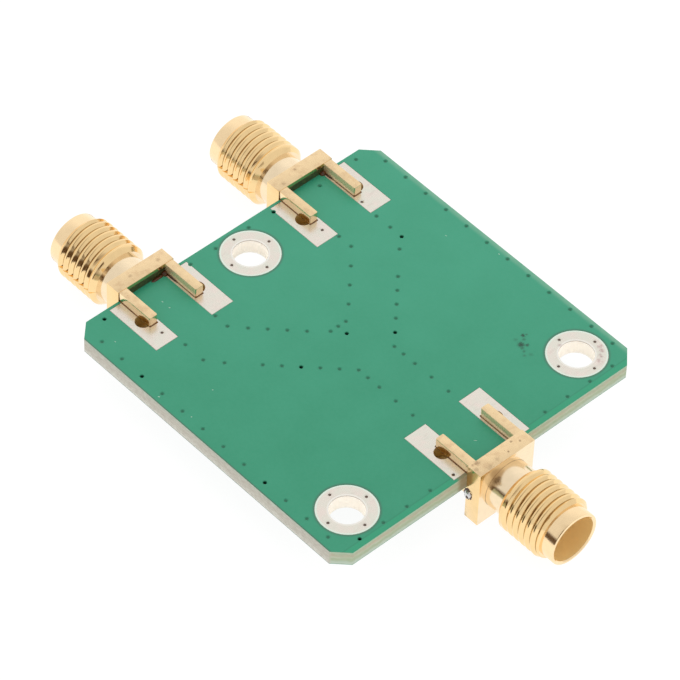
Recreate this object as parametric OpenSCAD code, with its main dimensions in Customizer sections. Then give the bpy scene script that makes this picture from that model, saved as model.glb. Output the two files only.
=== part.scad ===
// Two-way radio-frequency power splitter. A square circuit board lies with its ground
// face up. One edge-mounted coaxial jack sits at the input edge (+X) and two sit at the
// output edge (-X). The lines and the three star resistors are on the face below.
// The part stands on the flanges of its jacks: Z = 0 is their lower edge, and the origin
// is the middle of the board's outline. Lengths are in millimetres.

/* [Board] */
// Length of the board from the output edge to the input edge
board_l = 34.5; // [32:0.5:50]
// Width of the board along its input and output edges
board_w = 35; // [33:0.5:50]
// Thickness of the board with its mask
board_t = 1.6; // [1.2:0.1:2.4]
// Length cut off each corner, measured along an edge
corner_cut = 1.4; // [0.5:0.1:2]
// How far the copper pattern lies off the middle of the cut outline, towards +Y
pattern_shift = 0.2; // [-0.4:0.1:0.4]
// Thickness of the mask and of the tinned copper on each face
mask_t = 0.05; // [0.03:0.01:0.1]
// Bare line left round each pad, ring and line in the mask
mask_gap = 0.04; // [0.02:0.01:0.1]

/* [Mounting holes] */
// Diameter of the three mounting holes
hole_d = 3.2; // [2.5:0.1:3.5]
// Outer diameter of the tinned ring round a mounting hole
ring_d = 5.5; // [5.2:0.1:6]
// Distance of the single hole from the output edge
single_hole_in = 3.2; // [3.1:0.1:5]
// Distance of the two corner holes from the input edge
corner_hole_in = 3.8; // [3.2:0.1:5]
// Distance between the two corner holes
corner_hole_gap = 27; // [25:0.5:27.5]

/* [Jack pads] */
// Distance between the axes of the two output jacks
out_gap = 18.8; // [17:0.1:20]
// Length of a ground pad from the board's edge
pad_l = 6.5; // [5:0.1:8]
// Width of a ground pad
pad_w = 2.45; // [2:0.05:2.6]
// Distance of a pad's middle from its jack's axis
pad_off = 3.2; // [3.15:0.05:3.5]
// Gap between a pad and the board's edge
pad_back = 0.3; // [0.1:0.05:0.6]
// Diameter of the plated hole in each ground pad
lead_hole_d = 1.5; // [1:0.1:1.8]
// Distance of that hole from the board's edge
lead_hole_in = 3.2; // [2.5:0.1:3.6]
// Distance of that hole from its jack's axis
lead_hole_off = 3.1; // [3:0.05:3.4]
// Thickness of the plating in that hole
plating_t = 0.05; // [0.03:0.01:0.1]

/* [Vias] */
// Diameter of a via
via_d = 0.45; // [0.3:0.05:0.6]
// Distance of the edge rows from the edges
row_in = 0.77; // [0.6:0.01:1]
// Distance of the edge rows' ends from the corners
row_end = 2.65; // [2.2:0.05:4]
// Spacing of the vias along the edges
row_pitch = 2.67; // [2:0.01:4]
// Distance of the fences from the middle of a line
fence_off = 2.1; // [1.9:0.1:2.4]
// Spacing of the vias along the fences
fence_pitch = 1.66; // [1.2:0.01:2.5]
// Spacing of the vias along the right-hand inner slope
right_slope_pitch = 2.3; // [1.8:0.01:3]
// Distance of the inner slopes' last vias from the middle line
slope_stop = 2.45; // [1.5:0.05:3]
// Gaps from the output pads' ends to the vias of the left-hand outer run
left_run = [1.15, 3.5]; // [0.4:0.05:4]
// Gaps from the output pads' ends to the vias of the right-hand outer run
right_run = [0.65, 2.45, 3.95]; // [0.4:0.05:4]
// Gaps from the output pads' ends to the vias of the two inner runs
inner_run = [0.3, 1.9]; // [0.3:0.05:2]
// Gaps from the input pads' ends to the vias of the two runs to the input
input_run = [1.45, 3.6, 5.7, 7.15]; // [0.4:0.05:8]
// Radius on which the vias of a ring lie
ring_via_r = 2.2; // [2.1:0.05:2.3]
// Distance of the output edge's first vias from the middle
edge_via_near = 1.95; // [1.5:0.05:2.5]
// Distance of the output edge's next vias from the middle
edge_via_far = 4.9; // [4:0.05:5.2]
// Distance of the single vias in the output jacks' -Y pads from the edge
minus_via_in = 5.25; // [5:0.05:5.8]
// Distance of those vias from the jack's axis
minus_via_off = 2.7; // [2.4:0.05:3]
// Distance of the single via in the right jack's +Y pad from the edge
plus_via_in = 5; // [4.8:0.05:5.8]
// Distance of that via from the jack's axis
plus_via_off = 2.3; // [2.3:0.05:3]
// Distance of the via beside the right jack's axis from the edge
beside_via_in = 1.05; // [0.8:0.05:1.5]
// Distance of that via from the jack's axis
beside_via_off = 0.8; // [0.5:0.05:1.2]
// Distance of the vias behind the star from the inner corner of the fence
behind_via_off = 1.1; // [0.9:0.05:1.5]
// Spacing of those vias
behind_via_pitch = 0.9; // [0.6:0.05:1.2]

/* [Jack shell] */
// Width and height of the square flange
flange_w = 6.4; // [6:0.1:7]
// Thickness of the flange
flange_t = 1.6; // [1.2:0.1:2.5]
// Height of the board's lower face above the jack's axis
tail_seat = 0.5; // [0.48:0.01:0.7]
// Length of the four legs
leg_l = 4.1; // [3:0.1:5]
// Width of a leg
leg_w = 0.9; // [0.6:0.05:1]
// How far the legs stand in from the sides of the flange
leg_inset = 0.1; // [0.05:0.05:0.3]
// How far the upper legs lie below the top of the flange
leg_step = 0.05; // [0.02:0.01:0.2]
// Diameter of the neck behind the thread
neck_d = 4.85; // [4.7:0.05:5.1]
// Length of the neck from the flange to the thread
neck_l = 2; // [1:0.05:3]
// Diameter over the crests of the thread
thread_d = 6.3; // [6.1:0.05:6.35]
// Pitch of the thread
thread_pitch = 0.7056; // [0.69:0.0001:0.8]
// Depth of the thread
thread_depth = 0.28; // [0.15:0.01:0.29]
// Width of a thread crest
thread_crest = 0.36; // [0.1:0.01:0.38]
// Number of thread grooves
thread_n = 6; // [4:1:10]
// Length from the thread's start to its first groove
thread_land = 0.8; // [0.6:0.05:1.2]
// Width of the bevel at the thread's start
start_bevel = 0.4; // [0.1:0.05:0.5]
// Width of the flat crest after the last groove
end_flat = 0.06; // [0.02:0.01:0.3]
// Width of the bevel at the thread's end
end_bevel = 0.3; // [0.1:0.05:0.4]
// Diameter of the plain collar at the mouth
collar_d = 5.3; // [5.15:0.05:5.5]
// Length from the thread's end to the rim of the mouth
collar_l = 1.35; // [1:0.05:2.5]
// Diameter of the mouth's bore
mouth_d = 4.6; // [4.5:0.05:4.7]
// Depth of the mouth down to the insulator
mouth_depth = 2.7; // [1.8:0.1:4]
// Width of the bevels on the collar's rim
rim_bevel = 0.1; // [0.05:0.01:0.14]

/* [Jack inside] */
// Diameter of the bore that holds the insulator
insulator_bore_d = 4.1; // [3.6:0.1:4.2]
// Gap all round the insulator and the contact
fit_gap = 0.02; // [0.01:0.01:0.05]
// Diameter of the contact's body
contact_d = 1.27; // [1.2:0.01:1.5]
// Diameter of the socket in the contact's front end
socket_d = 0.94; // [0.85:0.01:1]
// Depth of that socket
socket_depth = 2.6; // [1.5:0.1:3]
// Gap between the contact's front end and the insulator's face
contact_back = 0.05; // [0:0.01:0.2]
// Diameter of the contact's tail
tail_d = 0.9; // [0.7:0.01:0.9]
// Length of the tail over the board
tail_l = 3.6; // [2:0.1:4.5]

/* [Lines and resistors] */
// Width of a line
line_w = 2.2; // [1.6:0.1:2.6]
// Distance of the star point from the middle of the board, towards the input
star_x = 1.55; // [0:0.05:3]
// Radius of the star pad
star_r = 1.5; // [1.3:0.05:1.7]
// Distance from the star point to the end of each line
line_stop = 2.4; // [2.2:0.05:2.6]
// Length of a chip resistor
resistor_l = 2; // [1.8:0.1:2.2]
// Width of a chip resistor
resistor_w = 1.25; // [0.8:0.05:1.3]
// Thickness of a chip resistor
resistor_t = 0.5; // [0.3:0.05:0.7]
// Length of a resistor's end cap
cap_l = 0.4; // [0.2:0.05:0.5]
// Distance from the star point to the near end of a resistor
resistor_in = 0.9; // [0.85:0.05:1]

/* [Solder] */
// Width of a solder fillet beside a leg
fillet_w = 0.6; // [0.3:0.05:0.8]
// Height of that fillet up the leg
fillet_h = 0.8; // [0.4:0.05:1]
// Share of that width and height which is left at the hollow of the fillet
fillet_hollow = 0.35; // [0.25:0.05:0.5]
// Width of the solder over the tail, at the board
tail_solder_w = 1.9; // [1.5:0.1:2.1]
// Width of that solder at its lower side
tail_solder_low_w = 1.3; // [1.1:0.1:1.4]
// Height of that solder from the board
tail_solder_h = 0.7; // [0.4:0.05:0.9]

/* [Hidden] */
$fn = 48;
// Overshoot of a cut past the face that it opens
over = 1;

// Heights of the jack's axis and of the board's faces
axis_z = flange_w / 2;
lower_z = axis_z + tail_seat;
upper_z = lower_z + board_t;
core_lower_z = lower_z + mask_t;
core_upper_z = upper_z - mask_t;

// Jacks, each as the edge that it sits on and the place of its axis along that edge
out_y = out_gap / 2;
input_jack = [1, 0];
left_jack = [-1, -out_y];
right_jack = [-1, out_y];
jacks = [input_jack, left_jack, right_jack];

// Board outline and mounting holes, the holes in the copper pattern's own frame
half_l = board_l / 2;
half_w = board_w / 2;
holes = [
    [single_hole_in - half_l, 0],
    [half_l - corner_hole_in, corner_hole_gap / 2],
    [half_l - corner_hole_in, -corner_hole_gap / 2]
];

// Jack lengths outward from the board's edge
thread_u = flange_t + neck_l;
thread_r = thread_d / 2;
root_r = thread_r - thread_depth;
flank_l = thread_depth * tan(30);
groove_w = thread_pitch - thread_crest;
first_groove_u = thread_u + thread_land;
thread_end_u = first_groove_u + thread_n * thread_pitch - thread_crest + end_flat + end_bevel;
mouth_u = thread_end_u + collar_l;
insulator_u = mouth_u - mouth_depth;
collar_r = collar_d / 2;
leg_y = flange_w / 2 - leg_inset - leg_w / 2;
leg_h = flange_w / 2 - leg_step - tail_seat - board_t;

// Lines: each output line runs straight in, bends by 45 degrees and ends at the star
bend_x = star_x - out_y;
bend_tan = tan(22.5);
star_angles = [0, 225, 135];

// Vias, in the copper pattern's own frame
pad_end_x = half_l - pad_l;
pad_side = pad_off + pad_w / 2;
fence_corner = fence_off * bend_tan;
star_corner_x = star_x - fence_off * sqrt(2);
outer_bend = [bend_x + fence_corner, out_y + fence_off];
inner_bend = [bend_x - fence_corner, out_y - fence_off];
star_bend = [2 * star_x - star_corner_x - fence_off, fence_off];
slope_end = [star_corner_x - slope_stop, slope_stop];
edge_x = half_l - row_in;
edge_y = half_w - row_in;
// Places along the output edge, between and beside the two jacks
output_edge_y = [edge_via_near, edge_via_far, half_w - row_end];
// Single vias in the output pads and at the edge
lone_vias = [
    [minus_via_in - half_l, -out_y - minus_via_off],
    [minus_via_in - half_l, out_y - minus_via_off],
    [plus_via_in - half_l, out_y + plus_via_off],
    [beside_via_in - half_l, out_y + beside_via_off]
];

function steps(a, b, pitch) = max(1, round(norm(b - a) / pitch));
function row(a, b, pitch) =
    let (n = steps(a, b, pitch))
    [for (i = [0:n]) a + (b - a) * i / n];
function row_open(a, b, pitch) =
    let (n = steps(a, b, pitch))
    [for (i = [1:n]) a + (b - a) * i / n];
function mirrored(points) = [for (s = [-1, 1]) for (p = points) [p[0], s * p[1]]];

// Fence on both sides of the lines: outer slope without its second via, run to the input and inner run
missing_via = 1;
outer_slope = row_open(outer_bend, star_bend, fence_pitch);
fence_half = concat(
    [for (i = [0:len(outer_slope) - 1]) if (i != missing_via) outer_slope[i]],
    [for (gap = input_run) [pad_end_x - gap, fence_off]],
    [for (gap = inner_run) [gap - pad_end_x, inner_bend[1]]]
);
// Outer run and inner slope, which differ from side to side
left_fence = concat(
    [for (gap = left_run) [gap - pad_end_x, -outer_bend[1]]],
    [for (p = row_open(inner_bend, slope_end, fence_pitch)) [p[0], -p[1]]]
);
right_fence = concat(
    [for (gap = right_run) [gap - pad_end_x, outer_bend[1]]],
    row_open(inner_bend, slope_end, right_slope_pitch)
);
// Inner corner of the fence, and the vias behind it
star_vias = concat(
    [[star_corner_x, 0]],
    [for (i = [-1:1]) [star_corner_x - behind_via_off, i * behind_via_pitch]]
);
side_row = row([row_end - half_l, edge_y], [half_l - row_end, edge_y], row_pitch);
input_row = [
    for (p = row([edge_x, row_end - half_w], [edge_x, half_w - row_end], row_pitch))
        if (p[1] < -pad_off || p[1] > pad_side) p
];
ring_vias = [for (h = holes) for (a = [0:90:270]) h + ring_via_r * [cos(a), sin(a)]];
plain_vias = concat(
    mirrored(fence_half), left_fence, right_fence, star_vias,
    mirrored(side_row), mirrored([for (y = output_edge_y) [-edge_x, y]]), input_row, lone_vias
);
via_points = concat(plain_vias, ring_vias);

// Whether a via lies near enough to a pad of some jack to pass through it
function near_pad(p, jack) =
    abs(p[0] - jack[0] * half_l) < pad_l + via_d
    && abs(abs(p[1] - jack[1]) - pad_off) < pad_w / 2 + via_d;
function pad_vias(jack) = [for (p = plain_vias) if (near_pad(p, jack)) p];

mask_green = [0.31, 0.63, 0.5];
plug_green = [0.19, 0.38, 0.3];
laminate_tan = [0.82, 0.78, 0.66];
tin = [0.87, 0.86, 0.84];
gold = [0.93, 0.78, 0.45];
ptfe = [0.95, 0.95, 0.93];
solder = [0.75, 0.75, 0.76];

// Frames

module in_pattern() {
    translate([0, pattern_shift, 0]) children();
}

// Origin on the jack's axis at the board's edge, with X pointing outward
module at_jack(jack) {
    translate([jack[0] * half_l, jack[1] + pattern_shift, axis_z])
        rotate([0, 0, jack[0] > 0 ? 0 : 180])
            children();
}

// Origin at the star point on the lower face, with X pointing along one line
module at_star(index) {
    translate([star_x, pattern_shift, lower_z])
        rotate([0, 0, star_angles[index]])
            children();
}

// Flat shapes

module outline() {
    c = corner_cut;
    polygon([
        [half_l, half_w - c], [half_l - c, half_w], [c - half_l, half_w], [-half_l, half_w - c],
        [-half_l, c - half_w], [c - half_l, -half_w], [half_l - c, -half_w], [half_l, c - half_w]
    ]);
}

module pad_rectangles(grow = 0) {
    for (side = [-1, 1])
        translate([-pad_l - grow, side * pad_off - pad_w / 2 - grow])
            square([pad_l - pad_back + 2 * grow, pad_w + 2 * grow]);
}

module lead_hole_places() {
    for (side = [-1, 1])
        translate([-lead_hole_in, side * lead_hole_off])
            children();
}

module input_strip(grow = 0) {
    translate([star_x + line_stop - grow, -line_w / 2 - grow])
        square([half_l - pad_back - star_x - line_stop + 2 * grow, line_w + 2 * grow]);
}

// Output line on the +Y side, from the board's edge to its end at the star
module output_strip(grow = 0) {
    h = line_w / 2 + grow;
    start_x = pad_back - grow - half_l;
    stop = (line_stop - grow) / sqrt(2);
    side = h / sqrt(2);
    polygon([
        [start_x, out_y - h], [bend_x - h * bend_tan, out_y - h],
        [star_x - stop - side, stop - side], [star_x - stop + side, stop + side],
        [bend_x + h * bend_tan, out_y + h], [start_x, out_y + h]
    ]);
}

// Drills and sheets

module drill(points, d, low, high) {
    for (p = points)
        translate([p[0], p[1] + pattern_shift, low])
            cylinder(d = d, h = high - low);
}

module lead_drills(d, low, high) {
    for (jack = jacks)
        at_jack(jack)
            translate([0, 0, low - axis_z])
                lead_hole_places()
                    cylinder(d = d, h = high - low);
}

// Mask with openings for the pads, rings and vias of one face, less its children
module mask_sheet(low) {
    difference() {
        translate([0, 0, low])
            linear_extrude(mask_t)
                outline();
        for (jack = jacks)
            at_jack(jack)
                translate([0, 0, low - mask_t - axis_z])
                    linear_extrude(3 * mask_t)
                        pad_rectangles(mask_gap);
        drill(holes, ring_d + 2 * mask_gap, low - mask_t, low + 2 * mask_t);
        drill(plain_vias, via_d, low - mask_t, low + 2 * mask_t);
        children();
    }
}

module pads(jack, low) {
    color(tin)
        difference() {
            at_jack(jack)
                translate([0, 0, low - axis_z])
                    linear_extrude(mask_t)
                        difference() {
                            pad_rectangles();
                            lead_hole_places()
                                circle(d = lead_hole_d);
                        }
            drill(pad_vias(jack), via_d, low - mask_t, low + 2 * mask_t);
        }
}

module rings(low) {
    color(tin)
        difference() {
            drill(holes, ring_d, low, low + mask_t);
            drill(holes, hole_d, low - mask_t, low + 2 * mask_t);
            drill(ring_vias, via_d, low - mask_t, low + 2 * mask_t);
        }
}

// Board pieces

module laminate() {
    color(laminate_tan)
        difference() {
            translate([0, 0, core_lower_z])
                linear_extrude(board_t - 2 * mask_t)
                    outline();
            drill(holes, hole_d, 0, 2 * upper_z);
            drill(via_points, via_d, 0, 2 * upper_z);
            lead_drills(lead_hole_d + 2 * plating_t, 0, 2 * upper_z);
        }
}

module ground_mask() {
    color(mask_green)
        mask_sheet(core_upper_z);
}

module component_mask() {
    color(mask_green)
        mask_sheet(lower_z)
            translate([0, 0, lower_z - mask_t])
                linear_extrude(3 * mask_t)
                    in_pattern() {
                        input_strip(mask_gap);
                        output_strip(mask_gap);
                        mirror([0, 1]) output_strip(mask_gap);
                        translate([star_x, 0]) circle(r = star_r + mask_gap);
                    }
}

// Plating in the six lead holes
module lead_hole_barrels() {
    color(tin)
        difference() {
            lead_drills(lead_hole_d + 2 * plating_t - 2 * fit_gap, core_lower_z, core_upper_z);
            lead_drills(lead_hole_d, 0, 2 * upper_z);
        }
}

// Plugged vias, flush with the laminate and so a mask's thickness below each face
module via_plugs() {
    color(plug_green)
        drill(via_points, via_d - 2 * fit_gap, core_lower_z, core_upper_z);
}

module input_line() {
    color(tin)
        translate([0, 0, lower_z])
            linear_extrude(mask_t)
                in_pattern() input_strip();
}

module output_line(side) {
    color(tin)
        translate([0, 0, lower_z])
            linear_extrude(mask_t)
                in_pattern() mirror([0, side > 0 ? 0 : 1]) output_strip();
}

module star_pad() {
    color(tin)
        translate([star_x, pattern_shift, lower_z])
            cylinder(r = star_r, h = mask_t);
}

// Resistors under the lower face

module resistor(index) {
    color("black")
        at_star(index)
            translate([resistor_in + cap_l, -resistor_w / 2, -resistor_t])
                cube([resistor_l - 2 * cap_l, resistor_w, resistor_t]);
}

module resistor_caps(index) {
    color(solder)
        at_star(index)
            for (end = [resistor_in, resistor_in + resistor_l - cap_l])
                translate([end, -resistor_w / 2, -resistor_t])
                    cube([cap_l, resistor_w, resistor_t]);
}

// Jack pieces

// Neck, thread and collar, as radius and distance outward
module turned_outline() {
    neck_r = neck_d / 2;
    grooves = [
        for (i = [0:thread_n - 1])
            let (u = first_groove_u + i * thread_pitch)
            for (p = [[thread_r, u], [root_r, u + flank_l], [root_r, u + groove_w - flank_l],
                      [thread_r, u + groove_w]]) p
    ];
    polygon(concat(
        [[0, flange_t / 2], [neck_r, flange_t / 2], [neck_r, thread_u],
         [thread_r - start_bevel, thread_u], [thread_r, thread_u + start_bevel]],
        grooves,
        [[thread_r, thread_end_u - end_bevel], [thread_r - end_bevel, thread_end_u],
         [collar_r, thread_end_u], [collar_r, mouth_u - rim_bevel],
         [collar_r - rim_bevel, mouth_u], [0, mouth_u]]
    ));
}

// A cylinder along the jack's axis
module along(d, from, to) {
    translate([from, 0, 0])
        rotate([0, 90, 0])
            cylinder(d = d, h = to - from);
}

module shell(jack) {
    color(gold)
        at_jack(jack)
            difference() {
                union() {
                    translate([0, -flange_w / 2, -flange_w / 2])
                        cube([flange_t, flange_w, flange_w]);
                    rotate([0, 90, 0])
                        rotate_extrude()
                            turned_outline();
                    for (side = [-1, 1])
                        for (low = [tail_seat + board_t, tail_seat - leg_h])
                            translate([-leg_l, side * leg_y - leg_w / 2, low])
                                cube([leg_l + flange_t / 2, leg_w, leg_h]);
                }
                along(insulator_bore_d, -over, mouth_u);
                along(mouth_d, insulator_u, mouth_u + over);
            }
}

module insulator(jack) {
    color(ptfe)
        at_jack(jack)
            difference() {
                along(insulator_bore_d - 2 * fit_gap, 0, insulator_u);
                along(contact_d + 2 * fit_gap, -over, insulator_u + over);
            }
}

module contact(jack) {
    front_u = insulator_u - contact_back;
    color(gold)
        at_jack(jack)
            difference() {
                union() {
                    along(contact_d, 0, front_u);
                    along(tail_d, -tail_l, flange_t);
                }
                along(socket_d, front_u - socket_depth, front_u + over);
            }
}

// Concave fillet of solder: Y away from the leg, Z down from the board, X along the leg
module fillet(length, w, h) {
    rotate([90, 0, 90])
        linear_extrude(length)
            polygon([[0, 0], [w, 0], [w * fillet_hollow, -h * fillet_hollow], [0, -h]]);
}

// Fillets on the outer side and at the tip of both lower legs
module leg_solder(jack) {
    side_l = lead_hole_in - lead_hole_d / 2 - pad_back - fillet_w / 2;
    leg_out = leg_y + leg_w / 2;
    color(solder)
        at_jack(jack)
            for (side = [0, 1])
                mirror([0, side])
                    translate([0, 0, tail_seat]) {
                        translate([-pad_back - side_l, leg_out, 0])
                            fillet(side_l, fillet_w, fillet_h);
                        translate([-leg_l, leg_y - leg_w / 2, 0])
                            rotate([0, 0, 90])
                                fillet(leg_w, fillet_w, fillet_h);
                    }
}

// Solder that the tail is bedded in, on its line
module tail_solder(jack) {
    color(solder)
        at_jack(jack)
            difference() {
                translate([-tail_l - pad_back, 0, tail_seat])
                    rotate([90, 0, 90])
                        linear_extrude(tail_l)
                            polygon([
                                [-tail_solder_w / 2, 0], [tail_solder_w / 2, 0],
                                [tail_solder_low_w / 2, -tail_solder_h],
                                [-tail_solder_low_w / 2, -tail_solder_h]
                            ]);
                along(tail_d + 2 * fit_gap, -tail_l - fit_gap, 0);
            }
}

laminate();
ground_mask();
component_mask();
rings(core_upper_z);  // upper_rings
rings(lower_z);  // lower_rings
pads(input_jack, core_upper_z);  // input_upper_pads
pads(left_jack, core_upper_z);  // left_upper_pads
pads(right_jack, core_upper_z);  // right_upper_pads
pads(input_jack, lower_z);  // input_lower_pads
pads(left_jack, lower_z);  // left_lower_pads
pads(right_jack, lower_z);  // right_lower_pads
lead_hole_barrels();
via_plugs();
input_line();
output_line(-1);  // left_line
output_line(1);  // right_line
star_pad();
resistor(0);  // input_resistor
resistor(1);  // left_resistor
resistor(2);  // right_resistor
resistor_caps(0);  // input_resistor_caps
resistor_caps(1);  // left_resistor_caps
resistor_caps(2);  // right_resistor_caps
shell(input_jack);  // input_shell
shell(left_jack);  // left_shell
shell(right_jack);  // right_shell
insulator(input_jack);  // input_insulator
insulator(left_jack);  // left_insulator
insulator(right_jack);  // right_insulator
contact(input_jack);  // input_contact
contact(left_jack);  // left_contact
contact(right_jack);  // right_contact
leg_solder(input_jack);  // input_leg_solder
leg_solder(left_jack);  // left_leg_solder
leg_solder(right_jack);  // right_leg_solder
tail_solder(input_jack);  // input_tail_solder
tail_solder(left_jack);  // left_tail_solder
tail_solder(right_jack);  // right_tail_solder
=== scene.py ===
"""Finish of a two-way radio-frequency power splitter, dressed over its solids.

The board lies with its ground face up, one gold jack at the input edge (+X) and two at the
output edge (-X). Everything is in metres, in the frame of the solids.
"""

import math

import bmesh
import bpy
import numpy as np
from mathutils import Matrix, Vector


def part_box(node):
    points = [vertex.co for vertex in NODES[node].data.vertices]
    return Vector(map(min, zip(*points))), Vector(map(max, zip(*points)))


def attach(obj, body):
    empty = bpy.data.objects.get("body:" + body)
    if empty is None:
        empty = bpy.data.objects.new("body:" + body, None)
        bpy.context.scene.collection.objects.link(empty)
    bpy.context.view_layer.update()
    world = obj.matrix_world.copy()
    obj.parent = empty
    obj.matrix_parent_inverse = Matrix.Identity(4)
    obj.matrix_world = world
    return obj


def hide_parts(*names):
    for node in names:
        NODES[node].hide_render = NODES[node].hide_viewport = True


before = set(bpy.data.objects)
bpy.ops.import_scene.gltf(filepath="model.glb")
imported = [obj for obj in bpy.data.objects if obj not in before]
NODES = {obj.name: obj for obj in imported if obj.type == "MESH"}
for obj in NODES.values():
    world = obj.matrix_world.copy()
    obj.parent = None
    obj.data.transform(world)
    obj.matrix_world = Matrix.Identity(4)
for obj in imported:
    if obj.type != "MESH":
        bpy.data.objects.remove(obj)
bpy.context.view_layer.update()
MM = 0.001

# Board, read from the solids
HALF_L, HALF_W, UPPER_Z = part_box("ground_mask")[1]
LOWER_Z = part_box("component_mask")[0].z
SHEET_T = UPPER_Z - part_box("ground_mask")[0].z
CORNER_CUT = 1.4 * MM
HOLES = ((-14.05 * MM, 0.2 * MM), (13.45 * MM, -13.3 * MM), (13.45 * MM, 13.7 * MM))
HOLE_R = 1.6 * MM
RING_R = 2.75 * MM
VIA_R = 0.222 * MM
TIN_NODES = ("upper_rings", "input_upper_pads", "left_upper_pads", "right_upper_pads")

# Jack shell, outward from the board's edge and from the jack's axis
JACKS = ("input", "left", "right")
SHELL_LOW, SHELL_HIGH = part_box("input_shell")
FLANGE_HALF = (SHELL_HIGH.z - SHELL_LOW.z) / 2
FLANGE_T = 1.6 * MM
LEG_L = HALF_L - SHELL_LOW.x
LEG_Y = (2.2 * MM, 3.1 * MM)
LEG_UPPER_Z = (2.1 * MM, 3.15 * MM)
LEG_LOWER_Z = (-0.55 * MM, 0.5 * MM)
LEG_TIP_R = 0.14 * MM
LEG_TIP_STEPS = 5
LEAD_HOLE_IN = 3.2 * MM
LEAD_HOLE_R = 0.75 * MM
NECK_R = 2.425 * MM
MOUTH_U = SHELL_HIGH.x - HALF_L
MOUTH_R = 2.3 * MM
INSULATOR_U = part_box("input_insulator")[1].x - HALF_L
BORE_R = 2.05 * MM
COLLAR_R = 2.65 * MM
COLLAR_L = 1.35 * MM
RIM_BEVEL = 0.1 * MM
EDGE_BEVEL = 0.05 * MM
# Share of a bevel at its middle point, so that it comes out round
BEVEL_MIDDLE = 0.3
ROUND_STEPS = 96

# Thread: round crests and narrow roots, with a bevel at each end
THREAD_U = 3.6 * MM
THREAD_END = MOUTH_U - COLLAR_L
THREAD_R = 3.15 * MM
THREAD_PITCH = 0.7056 * MM
THREAD_TURNS = 6
FIRST_GROOVE_U = THREAD_U + 0.68 * MM
GROOVE_W = THREAD_PITCH - 0.13 * MM
GROOVE_DEPTH = 0.28 * MM
START_BEVEL = 0.4 * MM
END_BEVEL = 0.3 * MM
# Turn at which the groove starts, and how far before it the groove begins to deepen, in pitches
GROOVE_START = 0.3
RUN_IN = 0.4
# Depth from which a groove's root takes the darker gold of tarnish and painted shade, as a share of its
# depth
DARK_ROOT_DEPTH = 0.88
# Section of a groove: places across it and depths there, in shares of its width and depth
GROOVE = ((-0.1, 0.0), (-0.03, 0.012), (0.04, 0.055), (0.11, 0.15), (0.43, 0.89), (0.5, 1.0),
          (0.57, 0.89), (0.89, 0.15), (0.96, 0.055), (1.03, 0.012), (1.1, 0.0))

# Contact, its solder and the chip resistors
CONTACT_R = 0.635 * MM
CONTACT_U = INSULATOR_U - 0.05 * MM
SOCKET_R = 0.47 * MM
SOCKET_DEPTH = 2.6 * MM
SLOT_W = 0.16 * MM
SLOT_DEPTH = 1.9 * MM
TAIL_R = 0.45 * MM
TAIL_L = 3.6 * MM
TAIL_SEAT = 0.5 * MM
PAD_BACK = HALF_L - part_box("input_leg_solder")[1].x
FILLET_W = 0.6 * MM
FILLET_H = 0.8 * MM
FILLET_L = 2.15 * MM - PAD_BACK
BED_W = 1.9 * MM
STAR = (1.55 * MM, 0.2 * MM)
RESISTORS = (("input", 0), ("left", 225), ("right", 135))
RESISTOR_IN = 0.9 * MM
RESISTOR_L = 2.0 * MM
RESISTOR_W = 1.25 * MM
RESISTOR_T = 0.5 * MM
CAP_L = 0.4 * MM
CAP_BEVEL = 0.06 * MM
GLAZE_T = 0.05 * MM
GLAZE_LAP = 0.1 * MM
GLAZE_DEPTH = 0.3 * MM

# Camera of the photograph: angles in degrees, lengths in mm, focal length in its pixels
VIEW_AZIMUTH = 45.92
VIEW_ELEVATION = 47.83
VIEW_ROLL = 2.402
VIEW_DISTANCE = 424.5
VIEW_FOCAL_PX = 4885
VIEW_OFFSET = (1.395, -0.308)
VIEW_CLIP = (0.01, 20)
FRAME_PX = 680


# Colours and finishes

def srgb(red, green, blue):
    """A colour given as screen values from 0 to 255, in linear light."""
    def linear(value):
        share = value / 255
        return share / 12.92 if share <= 0.04045 else ((share + 0.055) / 1.055) ** 2.4
    return linear(red), linear(green), linear(blue), 1.0


# Sockets of a node that mixes colours
MIX_SHARE, MIX_FIRST, MIX_SECOND, MIX_RESULT = 0, 6, 7, 2
# Range that holds most values of a noise
CLOUD_LOW, CLOUD_HIGH = 0.3, 0.7


class Nodes:
    """A node tree, with short calls for the nodes that the finishes and the room share."""

    def __init__(self, tree):
        self.tree = tree

    def node(self, kind, **settings):
        made = self.tree.nodes.new(kind)
        for key, value in settings.items():
            setattr(made, key, value)
        return made

    def feed(self, socket, value):
        if isinstance(value, bpy.types.NodeSocket):
            self.tree.links.new(value, socket)
        else:
            socket.default_value = value

    def math(self, operation, a, b=0.0):
        made = self.node("ShaderNodeMath", operation=operation)
        self.feed(made.inputs[0], a)
        self.feed(made.inputs[1], b)
        return made.outputs[0]

    def times(self, a, b):
        return self.math("MULTIPLY", a, b)

    def vector(self, operation, first, second, output="Value"):
        made = self.node("ShaderNodeVectorMath", operation=operation)
        self.feed(made.inputs[0], first)
        made.inputs[1].default_value = second
        return made.outputs[output]

    def band(self, value, low, high):
        """0 at low, 1 at high and smooth between them."""
        made = self.node("ShaderNodeMapRange", interpolation_type="SMOOTHSTEP")
        self.feed(made.inputs["Value"], value)
        made.inputs["From Min"].default_value = low
        made.inputs["From Max"].default_value = high
        return made.outputs["Result"]

    def mix(self, share, first, second):
        """Mixes two colours."""
        made = self.node("ShaderNodeMix", data_type="RGBA")
        self.feed(made.inputs[MIX_SHARE], share)
        self.feed(made.inputs[MIX_FIRST], first)
        self.feed(made.inputs[MIX_SECOND], second)
        return made.outputs[MIX_RESULT]

    def blend(self, share, first, second):
        """Mixes two shaders."""
        made = self.node("ShaderNodeMixShader")
        for socket, value in zip(made.inputs, (share, first, second)):
            self.feed(socket, value)
        return made.outputs[0]


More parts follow.
